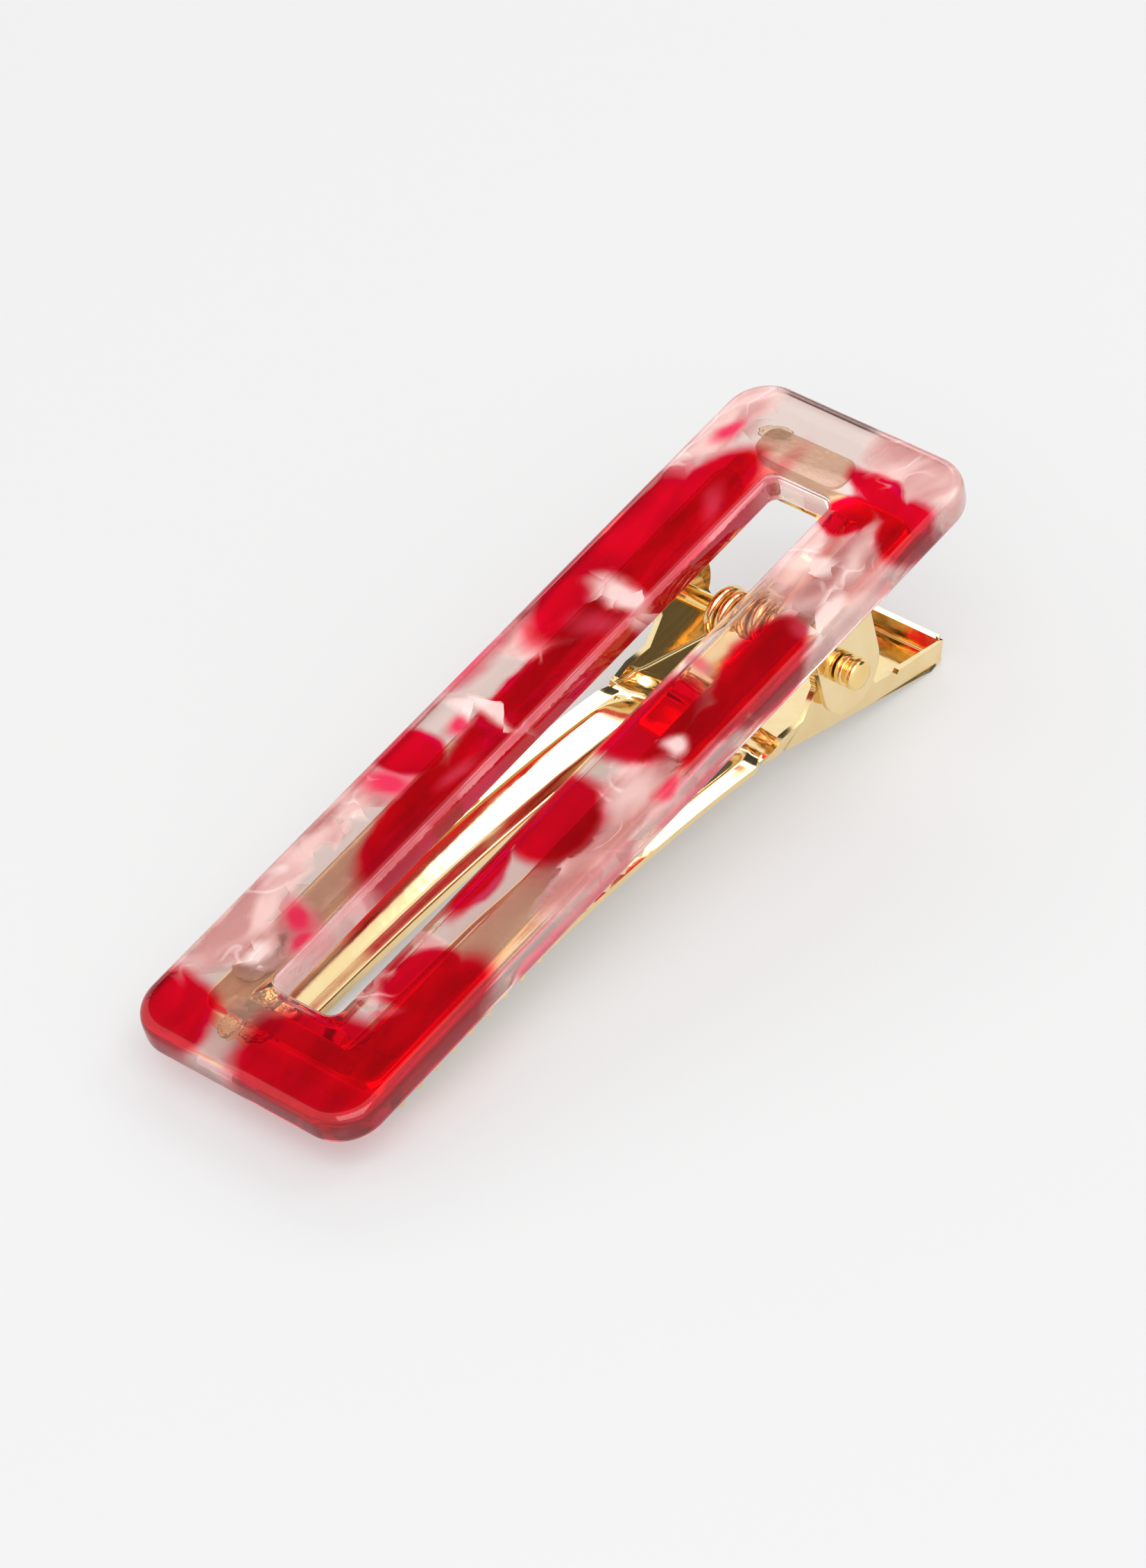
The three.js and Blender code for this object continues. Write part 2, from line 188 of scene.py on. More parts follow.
# marbling of the sheet, in mm on the clip: x, y, half width, half length, turn in degrees
marbling = {
    "ruby": [
        (-7.4, 53.6, 4.4, 9.6, 0), (-9.4, 55.0, 3.0, 7.0, 0), (-5.5, 62.0, 2.7, 6.2, 0),
        (-6.6, 48.4, 4.0, 3.0, 0), (-2.7, 42.6, 2.2, 23.6, 0), (-4.7, 37.6, 1.9, 8.4, 0),
        (-9.2, 30.7, 2.9, 2.1, 6), (-4.4, 25.2, 2.3, 6.4, 16), (-8.1, 2.0, 3.9, 3.5, -24),
        (5.6, 3.4, 7.0, 5.4, 0), (9.2, 9.6, 3.2, 8.2, 0), (6.6, 14.2, 2.9, 3.2, 8),
        (4.9, 30.8, 3.3, 3.8, 12), (3.4, 25.0, 1.4, 5.0, 10), (5.0, 41.9, 3.2, 4.7, -8),
        (8.7, 50.2, 2.8, 5.0, 8), (9.3, 44.4, 1.5, 4.4, 0), (6.8, 68.0, 4.8, 1.5, -24),
        (9.8, 66.6, 2.0, 3.0, 6), (5.0, 65.4, 2.0, 1.9, 0),
    ],
    "fuchsia": [
        (-8.6, 68.4, 1.0, 2.0, -22), (-4.4, 61.6, 0.8, 2.8, 26), (-10.5, 39.4, 1.4, 4.4, 0),
        (-5.2, 14.0, 1.5, 2.4, 60), (-3.8, 12.6, 1.0, 1.8, 10), (-8.6, 27.4, 2.7, 1.9, 0),
        (9.9, 37.6, 0.9, 2.0, 0), (-7.2, 34.2, 1.2, 1.0, 0),
    ],
    "milk": [
        (-9.8, 67.6, 2.4, 7.0, -8), (7.2, 72.0, 5.4, 2.8, -10), (7.2, 60.4, 4.8, 4.8, -30),
        (-8.6, 43.8, 3.2, 2.0, 8), (-9.6, 24.8, 2.0, 1.8, 0), (-9.4, 12.6, 2.6, 7.4, 4),
        (-6.8, 10.4, 2.4, 2.6, 0), (-9.2, 20.8, 1.5, 2.4, 0), (8.6, 35.8, 3.0, 3.4, 0),
        (9.9, 29.0, 1.6, 5.4, 0), (4.4, 12.0, 1.2, 1.8, 0), (4.6, 17.8, 1.4, 0.9, 0),
    ],
    "veil": [
        (-5.2, 47.6, 2.2, 1.8, 0), (-4.6, 61.6, 1.0, 2.8, 26), (-4.7, 30.4, 0.9, 2.4, -10),
        (4.5, 48.4, 1.8, 0.9, -30), (9.0, 54.6, 1.6, 1.0, 0), (6.2, 10.2, 1.6, 0.7, 30),
    ],
    "flake": [
        (-4.9, 50.7, 3.4, 1.7, -4), (-6.4, 36.3, 3.8, 1.1, 6), (7.9, 41.0, 1.4, 1.2, 30),
        (-5.9, 9.6, 1.3, 1.5, 0), (9.8, 57.0, 0.9, 3.0, 24), (5.4, 60.8, 2.4, 1.4, 30),
    ],
}
acetateLook = {
    "clear": "#fdeae2", "pearl": ("#dea29e", "#ecc8c2"), "fuchsia": "#f83f68", "blush": "#f5506e",
    # the wall colour is painted shade: a darker ruby put on the acetate's upright faces
    "ruby": ("#d80020", "#fb0028"), "paintedWallShade": "#b40014", "veil": "#e8506c",
    "flake": "#f8e2de", "crystal": "#ffffff", "frost": "#f8b8c4",
    # how milky each part is: 0 lets all the light through, 1 lets none
    "haze": {"clear": 0.03, "pearl": (0.3, 0.6), "fuchsia": 0.35, "ruby": 0.1, "veil": 0.3,
             "flake": 0.55, "crystal": 0.8, "edge": 0.5, "frost": 0.45},
    "slant": (0.34, -0.28, 0.0),  # how far the marbling leans sideways per mm of depth
    "rimAt": 0.8,  # a patch's given size is reached this far out in its field
    "edgeFrom": 0.2, "edgeTo": 2.4,  # heights in mm over which the edges turn milky
    "frostFrom": 2.1, "frostTo": 2.25,  # and over which the window's left wall turns frosted
    "rag": 0.5, "frostTint": 0.4,  # how ragged the frost's limit is, how much colour it brings
}


def patchField(tree, place, patches):
    # 0 outside, rising to 1 in the middle of the nearest patch; its rim lies at 0.2
    field = None
    for x, y, wide, long, turn in patches:
        local = addNode(tree, "ShaderNodeMapping", {
            "Vector": place, "Location": (x, y, 0.0), "Rotation": (0.0, 0.0, math.radians(turn)),
            "Scale": (wide / acetateLook["rimAt"], long / acetateLook["rimAt"], 1000.0)},
            vector_type="TEXTURE")
        blob = addNode(tree, "ShaderNodeTexGradient", {"Vector": local.outputs[0]},
                       gradient_type="SPHERICAL")
        if field is None:
            field = blob.outputs["Fac"]
        else:
            field = addNode(tree, "ShaderNodeMath", {0: field, 1: blob.outputs["Fac"]},
                            operation="MAXIMUM").outputs[0]
    return field


def warped(tree, place, scale, reach):
    # pushes the pattern about by up to half of reach, so that nothing in it stays straight
    cloud = addNode(tree, "ShaderNodeTexNoise", {"Vector": place, "Scale": scale, "Detail": 2.0})
    centred = addNode(tree, "ShaderNodeVectorMath", {
        0: cloud.outputs["Color"], 1: (0.5, 0.5, 0.5)}, operation="SUBTRACT")
    return addNode(tree, "ShaderNodeVectorMath", {
        0: centred.outputs[0], 1: (reach, reach, 0.0), 2: place}, operation="MULTIPLY_ADD").outputs[0]


def marbledPlace(tree, place, height):
    # the marbling leans as it goes down, and swirls widely and then finely
    below = addNode(tree, "ShaderNodeMath", {0: body["thick"], 1: height}, operation="SUBTRACT")
    lean = addNode(tree, "ShaderNodeVectorMath", {
        0: acetateLook["slant"], "Scale": below.outputs[0]}, operation="SCALE")
    leaning = addNode(tree, "ShaderNodeVectorMath", {0: place, 1: lean.outputs[0]}).outputs[0]
    return warped(tree, warped(tree, leaning, 0.16, 3.0), 0.6, 0.5)


def brokenPlace(tree, poured):
    # pearl and flakes break into angular shards about 2.4 mm across
    shards = addNode(tree, "ShaderNodeTexVoronoi", {
        "Vector": poured, "Scale": 0.42, "Randomness": 1.0})
    knock = addNode(tree, "ShaderNodeVectorMath", {
        0: shards.outputs["Color"], 1: (0.5, 0.5, 0.5)}, operation="SUBTRACT")
    return addNode(tree, "ShaderNodeVectorMath", {
        0: knock.outputs[0], 1: (1.0, 1.4, 0.0), 2: poured}, operation="MULTIPLY_ADD").outputs[0]


def silkStreaks(tree, poured):
    # long soft streaks, a few mm wide, in pearl and ruby alike
    place = addNode(tree, "ShaderNodeMapping", {
        "Vector": poured, "Rotation": (0.0, 0.0, 0.5), "Scale": (0.4, 0.16, 0.3)}).outputs[0]
    streaks = addNode(tree, "ShaderNodeTexNoise", {
        "Vector": place, "Scale": 1.0, "Detail": 1.5, "Roughness": 0.45, "Distortion": 0.4})
    return soften(tree, streaks.outputs["Fac"], 0.35, 0.68)


def crystalSeams(tree, place, poured, milk):
    # faint bright seams through the pearl, only here and there
    seams = addNode(tree, "ShaderNodeTexNoise", {
        "Vector": poured, "Scale": 0.2, "Detail": 1.0, "Distortion": 0.8})
    middleLine = addNode(tree, "ShaderNodeMath", {0: seams.outputs["Fac"], 1: 0.5},
                         operation="SUBTRACT")
    off = addNode(tree, "ShaderNodeMath", {0: middleLine.outputs[0]}, operation="ABSOLUTE")
    line = soften(tree, off.outputs[0], 0.035, 0.0, 0.3)
    broad = addNode(tree, "ShaderNodeTexNoise", {"Vector": place, "Scale": 0.3, "Detail": 1.0})
    here = soften(tree, broad.outputs["Fac"], 0.45, 0.6)
    return times(tree, times(tree, line, here), milk)


def edgeMasks(tree, place, spot):
    # tumbling leaves every edge a little milky; the window's left wall, which the wheel hardly
    # reaches, keeps a frosted band with a ragged lower limit. Every other upright face gets
    # painted shade: its ruby is coloured a darker crimson
    facing = addNode(tree, "ShaderNodeMath", {0: facingUp(tree)}, operation="ABSOLUTE").outputs[0]
    upright = soften(tree, facing, 0.9, 0.55)
    rag = addNode(tree, "ShaderNodeTexNoise", {"Vector": place, "Scale": 2.2, "Detail": 3.0})
    level = addNode(tree, "ShaderNodeMath", {
        0: rag.outputs["Fac"], 1: acetateLook["rag"], 2: spot.outputs[2]},
        operation="MULTIPLY_ADD").outputs[0]
    halfStrip = 1.7  # mm, half of the strip that holds the window's left wall
    shifted = addNode(tree, "ShaderNodeMath", {0: spot.outputs[0], 1: halfStrip}, operation="ADD")
    across = addNode(tree, "ShaderNodeMath", {0: shifted.outputs[0]}, operation="ABSOLUTE")
    leftWall = addNode(tree, "ShaderNodeMath", {0: across.outputs[0], 1: halfStrip},
                       operation="LESS_THAN").outputs[0]
    frost = soften(tree, level, acetateLook["frostFrom"], acetateLook["frostTo"])
    frost = times(tree, times(tree, frost, upright), leftWall)
    edge = soften(tree, spot.outputs[2], acetateLook["edgeFrom"], acetateLook["edgeTo"], 0.5)
    # painted shade mask: upright faces outside the frost band
    paintedWallShade = addNode(tree, "ShaderNodeMath", {0: upright, 1: frost}, operation="SUBTRACT")
    return paintedWallShade.outputs[0], frost, times(tree, edge, upright)


def acetateSheet():
    # block-marbled cellulose acetate, tumbled to a wet gloss: clear ruby, milky pearl and glass
    material, tree = newMaterial("tumbledMarbledAcetate")
    look, haziness = acetateLook, acetateLook["haze"]
    place = clipPlace(tree)
    spot = addNode(tree, "ShaderNodeSeparateXYZ", {0: place})
    poured = marbledPlace(tree, place, spot.outputs[2])
    broken = brokenPlace(tree, poured)
    rubyField = patchField(tree, poured, marbling["ruby"])
    ruby = soften(tree, rubyField, 0.1, 0.3)
    blush = soften(tree, rubyField, 0.0, 0.22, 0.75)  # colour bleeds out round every ruby piece
    fuchsia = soften(tree, patchField(tree, poured, marbling["fuchsia"]), 0.02, 0.8)
    milk = soften(tree, patchField(tree, broken, marbling["milk"]), 0.05, 0.4)
    veil = soften(tree, patchField(tree, poured, marbling["veil"]), 0.05, 0.9, 0.8)
    flake = soften(tree, patchField(tree, broken, marbling["flake"]), 0.08, 0.7)
    silk = silkStreaks(tree, poured)
    crystal = crystalSeams(tree, place, poured, milk)
    paintedWallShade, frost, edge = edgeMasks(tree, place, spot)

    pearl = blendColour(tree, silk, *(fromHex(code) for code in look["pearl"]))
    stone = blendColour(tree, silk, *(fromHex(code) for code in look["ruby"]))
    # painted shade: on upright faces the ruby is darkened to a deep crimson
    stone = blendColour(tree, paintedWallShade, stone, fromHex(look["paintedWallShade"]))
    colour = blendColour(tree, milk, fromHex(look["clear"]), pearl)
    layers = ((fuchsia, fromHex(look["fuchsia"])), (blush, fromHex(look["blush"])), (ruby, stone),
              (veil, fromHex(look["veil"])), (flake, fromHex(look["flake"])),
              (crystal, fromHex(look["crystal"])),
              (times(tree, frost, look["frostTint"]), fromHex(look["frost"])))
    for share, over in layers:
        colour = blendColour(tree, share, colour, over)

    cloudy = blendValue(tree, silk, *haziness["pearl"])
    haze = blendValue(tree, milk, haziness["clear"], cloudy)
    hazes = ((fuchsia, "fuchsia"), (ruby, "ruby"), (veil, "veil"), (flake, "flake"),
             (crystal, "crystal"), (edge, "edge"), (frost, "frost"))
    for share, part in hazes:
        haze = blendValue(tree, share, haze, haziness[part])
    clear = addNode(tree, "ShaderNodeMath", {0: 1.0, 1: haze}, operation="SUBTRACT")

    ripple = addNode(tree, "ShaderNodeTexNoise", {"Vector": place, "Scale": 0.12, "Detail": 1.0})
    bump = addNode(tree, "ShaderNodeBump", {
        "Height": ripple.outputs["Fac"], "Strength": 0.25, "Distance": 0.0005})
    shader = addNode(tree, "ShaderNodeBsdfPrincipled", {
        "Base Color": colour, "Roughness": 0.03, "IOR": 1.48,
        "Transmission Weight": clear.outputs[0], "Normal": bump.outputs[0]})
    finishMaterial(tree, shader)
    return material


acetate = acetateSheet()


def contactAdhesive(name, colour, clearness, lumps):
    # cured contact adhesive: a cream film where thin, milky beige where it was laid on thick
    material, tree = newMaterial(name)
    blobs = addNode(tree, "ShaderNodeTexNoise", {
        "Vector": clipPlace(tree), "Scale": 0.9, "Detail": 3.0})
    bump = addNode(tree, "ShaderNodeBump", {
        "Height": blobs.outputs["Fac"], "Strength": 0.6, "Distance": lumps})
    tint = blendColour(tree, blobs.outputs["Fac"], fromHex(colour[0]), fromHex(colour[1]))
    shader = addNode(tree, "ShaderNodeBsdfPrincipled", {
        "Base Color": tint, "Roughness": 0.08, "IOR": 1.46,
        "Transmission Weight": clearness, "Normal": bump.outputs[0]})
    finishMaterial(tree, shader)
    return material


glue = contactAdhesive("curedClearAdhesive", ("#fff2e2", "#fbe4c8"), 0.7, 0.0002)
wrinkledGlue = contactAdhesive("curedWrinkledAdhesive", ("#fff4e0", "#f8e4bc"), 0.9, 0.0009)
thickGlue = contactAdhesive("curedMilkyAdhesive", ("#f8ecd8", "#ecdcbc"), 0.35, 0.0003)
print("materials made")


# shaping helpers

def newRing(bm, width, length, at, corner, steps):
    # edges of a rectangle with rounded corners, lying flat
    known = set(bm.edges)
    made = bmesh.ops.create_grid(bm, x_segments=1, y_segments=1, size=0.5)["verts"]
    bmesh.ops.scale(bm, vec=(width, length, 1.0), verts=made)
    bmesh.ops.translate(bm, vec=at, verts=made)
    bmesh.ops.bevel(bm, geom=made, offset=corner, segments=steps, profile=0.5,
                    affect="VERTICES", material=-1)
    ring = [e for e in bm.edges if e not in known]
    faces = list({f for e in ring for f in e.link_faces})
    bmesh.ops.delete(bm, geom=faces, context="FACES_ONLY")
    return ring


def middle(edge):
    return (edge.verts[0].co + edge.verts[1].co) / 2


def vertsOf(made):
    return [item for item in made if isinstance(item, bmesh.types.BMVert)]


def edgesOf(made):
    return [item for item in made if isinstance(item, bmesh.types.BMEdge)]


def near(value, other):
    # equal to within a hundredth of a millimetre
    return abs(value - other) < 0.01


def newPiece(name, bm, material, rides, nodes, modifiers=(), sharpAt=40):
    bm.transform(clipToWorld)
    mesh = bpy.data.meshes.new(name)
    bm.to_mesh(mesh)
    bm.free()
    mesh.shade_smooth()
    mesh.set_sharp_from_angle(angle=math.radians(sharpAt))
    piece = bpy.data.objects.new(name, mesh)
    bpy.context.scene.collection.objects.link(piece)
    mesh.materials.append(material)
    for kind, settings in modifiers:
        modifier = piece.modifiers.new(kind.lower(), kind)
        for key, value in settings.items():
            setattr(modifier, key, value)
    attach(piece, rides)
    if nodes:
        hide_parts(*nodes)


def outward(bm, faces):
    bmesh.ops.recalc_face_normals(bm, faces=faces)


def sheetMetal(thick, edge):
    # a modelled skin grows inwards to its thickness, and its cut edges are broken
    return (
        ("SOLIDIFY", {"thickness": thick * 0.001, "offset": -1.0, "use_even_offset": False}),
        ("BEVEL", {"width": edge * 0.001, "segments": 2, "limit_method": "ANGLE",
                   "angle_limit": math.radians(50), "harden_normals": True}),
    )


# acetate frame

def acetateBody():
    bm = bmesh.new()
    windowLength = body["length"] - body["frontBar"] - body["backBar"]
    windowY = body["frontBar"] + windowLength / 2
    outer = newRing(bm, body["width"], body["length"], (0, body["length"] / 2, 0), body["corner"], 14)
    inner = newRing(bm, body["windowWidth"], windowLength, (0, windowY, 0), body["windowCorner"], 14)
    bmesh.ops.bridge_loops(bm, edges=outer + inner)
    bmesh.ops.solidify(bm, geom=bm.faces[:], thickness=body["thick"])
    outward(bm, bm.faces[:])
    low = min(v.co.z for v in bm.verts)
    bmesh.ops.translate(bm, vec=(0, 0, -low), verts=bm.verts[:])
    rims = [e for e in bm.edges if len(e.link_faces) == 2 and e.calc_face_angle() > 1.2
            and near(e.verts[0].co.z, e.verts[1].co.z)]
    halfWindow = body["windowWidth"] / 2 + 0.1
    inWindow = [e for e in rims if abs(middle(e).x) < halfWindow
                and abs(middle(e).y - windowY) < windowLength / 2 + 0.1]
    outside = [e for e in rims if e not in inWindow]
    bmesh.ops.bevel(bm, geom=outside, offset=body["rim"], segments=6, profile=0.5,
                    affect="EDGES", material=-1)
    inWindow = [e for e in inWindow if e.is_valid]
    bmesh.ops.bevel(bm, geom=inWindow, offset=body["windowRim"], segments=4, profile=0.5,
                    affect="EDGES", material=-1)
    newPiece("acetateBody", bm, acetate, "frame", ["acetate_frame"], sharpAt=60)


acetateBody()
print("acetate frame made")

# upper arm: hollow plate with folded walls, teeth and ears

upper = {
    "sheet": 0.5, "half": 8.5, "front": 5.0, "back": 69.4, "corner": 1.6, "top": -0.45,
    "rail": 3.3, "frontBar": 2.2, "backBar": 2.5, "innerCorner": 0.8, "bend": 0.75,
    "wallStart": -1.7, "wallBottom": -2.6, "toothDrop": 0.85, "toothedTo": 36.0, "teeth": 15,
    "frontTeeth": 7, "earFront": 56.1, "earBack": 62.7, "earBottom": -10.0, "edge": 0.07,
}


def dropTeeth(bm, edge, teeth, axis):
    split = bmesh.ops.subdivide_edges(bm, edges=[edge], cuts=teeth * 2 - 1)
    inner = vertsOf(split["geom_inner"])
    inner.sort(key=lambda v: v.co[axis])
    for v in inner[::2]:
        v.co.z -= upper["toothDrop"]


def upperArm():
    bm = bmesh.new()
    length = upper["back"] - upper["front"]
    midY = (upper["back"] + upper["front"]) / 2
    outer = newRing(bm, 2 * upper["half"], length, (0, midY, upper["top"]), upper["corner"], 6)
    holeLength = length - upper["frontBar"] - upper["backBar"]
    holeY = upper["front"] + upper["frontBar"] + holeLength / 2
    inner = newRing(bm, 2 * (upper["half"] - upper["rail"]), holeLength, (0, holeY, upper["top"]),
                    upper["innerCorner"], 6)
    bmesh.ops.bridge_loops(bm, edges=outer + inner)
    bend = bmesh.ops.extrude_edge_only(bm, edges=outer)["geom"]
    bmesh.ops.translate(bm, vec=(0, 0, upper["wallStart"] - upper["top"]), verts=vertsOf(bend))
    low = [e for e in edgesOf(bend) if all(near(v.co.z, upper["wallStart"]) for v in e.verts)]
    # the walls run round the front and both sides; the back has only its bend
    sides = [e for e in low if middle(e).y < upper["back"] - upper["corner"] - 0.01]
    wall = bmesh.ops.extrude_edge_only(bm, edges=sides)["geom"]
    bmesh.ops.translate(bm, vec=(0, 0, upper["wallBottom"] - upper["wallStart"]),
                        verts=vertsOf(wall))
    bottom = [e for e in edgesOf(wall) if all(near(v.co.z, upper["wallBottom"]) for v in e.verts)]
    for edge in bottom:
        if edge.calc_length() > length * 0.6:  # one of the two long sides
            shapeSide(bm, edge)
        elif edge.calc_length() > upper["half"]:
            dropTeeth(bm, edge, upper["frontTeeth"], 0)
    folds = [e for e in outer if e.is_valid]
    bmesh.ops.bevel(bm, geom=folds, offset=upper["bend"], segments=4, profile=0.5,
                    affect="EDGES", material=-1)
    outward(bm, bm.faces[:])
    if max(bm.faces, key=lambda f: f.calc_center_median().z).normal.z < 0:
        bmesh.ops.reverse_faces(bm, faces=bm.faces[:])
    newPiece("upperArm", bm, armGold, "frame", ["upper_arm"],
             sheetMetal(upper["sheet"], upper["edge"]))


def shapeSide(bm, edge):
    # teeth along the front of a side wall, and the round ear that holds the pin
    front, back = sorted(edge.verts, key=lambda v: v.co.y)
    start = front.co.y
    cuts = []
    for y in (upper["toothedTo"], upper["earFront"], upper["earBack"]):
        rest = next(e for e in back.link_edges if near(e.other_vert(back).co.z, back.co.z))
        ahead = rest.other_vert(back)
        share = (y - ahead.co.y) / (back.co.y - ahead.co.y)
        cut = bmesh.utils.edge_split(rest, ahead, share)[1]
        cuts.append(cut)
    ear = next(e for e in cuts[1].link_edges if e.other_vert(cuts[1]) is cuts[2])
    lobe = bmesh.ops.extrude_edge_only(bm, edges=[ear])["geom"]
    tips = vertsOf(lobe)
    bmesh.ops.translate(bm, vec=(0, 0, upper["earBottom"] - upper["wallBottom"]), verts=tips)
    radius = (upper["earBack"] - upper["earFront"]) / 2
    bmesh.ops.bevel(bm, geom=tips, offset=radius * 0.995, segments=10, profile=0.5,
                    affect="VERTICES", material=-1)  # a hair under a half circle, so ends don't meet
    toothed = next(e for e in cuts[0].link_edges
                   if near(e.other_vert(cuts[0]).co.y, start)
                   and near(e.other_vert(cuts[0]).co.z, upper["wallBottom"]))
    dropTeeth(bm, toothed, upper["teeth"], 1)


upperArm()
print("upper arm made")

# lower arm: finger lever, side walls, back lip and hollow ribbed jaw

lower = {
    "sheet": 0.5, "half": 7.75, "fold": 0.22, "edge": 0.07,
    "tip": (5.9, -3.15), "neck": (50.7, -8.25), "heel": (70.2, -16.3), "backEnd": 69.72,
    "jawLift": -3.9, "jawLiftAt": 0.36, "windowHalf": 2.6, "windowFront": 9.5, "windowBack": 46.1,
    "nose": (7.4, 0.45),  # where the tip starts to dip, and by how much
    # half section of a rib: distance from the middle, height; and where the ribs fade out
    "rib": [(2.2, 0.0), (2.6, -0.45), (2.75, -0.5), (3.4, 0.2), (5.2, 1.24), (5.45, 1.24), (6.3, 0.0)],
    "ribFront": (6.8, 9.8), "ribBack": (50.2, 45.5),
    "turn": (48.0, 51.5),  # where the jaw turns into the lever's floor
    # V folds pressed across that turn: height, waves, how far they trail, where they begin and end
    "vFold": {"high": 0.13, "wave": 2.1, "trail": 0.16, "begin": (49.6, 50.4), "end": (54.4, 53.2)},
    "lip": 1.8, "lean": 0.35, "wall": 1.6, "wallFrom": 49.55, "earRadius": 2.4,
}


def jawZ(y):
    # underside of the jaw: one smooth curve from the neck to the tip
    (y0, z0), (y2, z2) = lower["neck"], lower["tip"]
    y1, z1 = y0 - lower["jawLiftAt"] * (y0 - y2), lower["jawLift"]
    a, b, c = y0 - 2 * y1 + y2, 2 * (y1 - y0), y0 - y
    t = (-b - math.sqrt(max(b * b - 4 * a * c, 0.0))) / (2 * a)
    return (1 - t) ** 2 * z0 + 2 * t * (1 - t) * z1 + t * t * z2


def floorZ(y):
    # top of the lever's floor
    (y0, z0), (y1, z1) = lower["neck"], lower["heel"]
    return z0 + (z1 - z0) * (y - y0) / (y1 - y0) + lower["sheet"] * 1.08  # upright, on the slope


def ease(low, high, value):
    share = min(max((value - low) / (high - low), 0.0), 1.0)
    return share * share * (3 - 2 * share)


def ribZ(x):
    # folded rib: steep inside, then a gentler shoulder up to its crest, each fold a little rounded
    steps = (-0.12, -0.06, 0.0, 0.06, 0.12)
    total = 0.0
    for step in steps:
        d = abs(x) + step
        for (d0, h0), (d1, h1) in zip(lower["rib"], lower["rib"][1:]):
            if d0 <= d < d1:
                total += h0 + (h1 - h0) * (d - d0) / (d1 - d0)
    return total / len(steps)


def topZ(x, y):
    # top of the pressed sheet, from the jaw's tip to the end of the lever's floor
    mix = ease(*lower["turn"], y)
    z = (jawZ(min(y, 50.6)) + lower["sheet"]) * (1 - mix) + floorZ(y) * mix
    z += ribZ(x) * ease(*lower["ribBack"], y) * ease(*lower["ribFront"], y)
    v = lower["vFold"]
    along = y + v["trail"] * abs(x)
    wave = math.sin((along - 49.8) * v["wave"])
    z += v["high"] * wave * ease(*v["begin"], along) * ease(*v["end"], along)
    noseAt, dip = lower["nose"]
    return z - dip * ease(noseAt, lower["tip"][0], y) ** 2


def stations(*stops):
    # each stop is (place, spacing up to the next place)
    places = []
    for (start, gap), (end, _) in zip(stops, stops[1:]):
        count = max(1, round((end - start) / gap))
        places += [start + (end - start) * i / count for i in range(count)]
    return places + [stops[-1][0]]


def lowerArm():
    bm = bmesh.new()
    half = lower["half"] - lower["sheet"]
    right = stations((0, 1.1), (2.2, 0.1), (3.6, 0.3), (5.0, 0.1), (5.6, 0.25), (6.1, 0.1),
                     (6.5, 0.4), (half, 1))
    across = [-x for x in right[:0:-1]] + right
    along = stations((lower["tip"][0], 0.3), (lower["nose"][0], 0.7), (lower["windowFront"], 1.2),
                     (42, 0.6), (lower["windowBack"], 0.5), (49, 0.2), (54.5, 0.6), (64, 0.9),
                     (lower["backEnd"], 1))
    bmesh.ops.create_grid(bm, x_segments=len(across) - 1, y_segments=len(along) - 1, size=1.0)
    for v in bm.verts:
        x = across[round((v.co.x + 1) / 2 * (len(across) - 1))]
        y = along[round((v.co.y + 1) / 2 * (len(along) - 1))]
        wide = 1 + (lower["half"] / half - 1) * ease(49.6, 48.4, y) * ease(6.4, 7.2, abs(x))
        v.co = (x * wide, y, topZ(x, y))
    gap = [f for f in bm.faces if abs(f.calc_center_median().x) < lower["windowHalf"]
           and lower["windowFront"] < f.calc_center_median().y < lower["windowBack"]]
    bmesh.ops.delete(bm, geom=gap, context="FACES")
    tips = [v for v in bm.verts if near(v.co.y, lower["tip"][0])
            and abs(v.co.x) > lower["half"] - 0.1]
    bmesh.ops.bevel(bm, geom=tips, offset=0.28, segments=3, profile=0.5,
                    affect="VERTICES", material=-1)
    back = [e for e in bm.edges if e.is_boundary
            and all(near(v.co.y, lower["backEnd"]) for v in e.verts)]
    lip = bmesh.ops.extrude_edge_only(bm, edges=back)["geom"]
    bmesh.ops.translate(bm, vec=(0, lower["lean"], lower["lip"]), verts=vertsOf(lip))
    folds = list(back)
    for side in (-1, 1):
        folds += sideWall(bm, side, half)
    bmesh.ops.bevel(bm, geom=[e for e in folds if e.is_valid], offset=lower["fold"], segments=3,
                    profile=0.5, affect="EDGES", material=-1)
    outward(bm, bm.faces[:])
    floor = min(bm.faces, key=lambda f: (f.calc_center_median() - Vector((0, 60, -11.5))).length)
    if floor.normal.z < 0:
        bmesh.ops.reverse_faces(bm, faces=bm.faces[:])
    newPiece("lowerArm", bm, jawGold, "lever_arm", ["lower_arm"],
             sheetMetal(lower["sheet"], lower["edge"]))


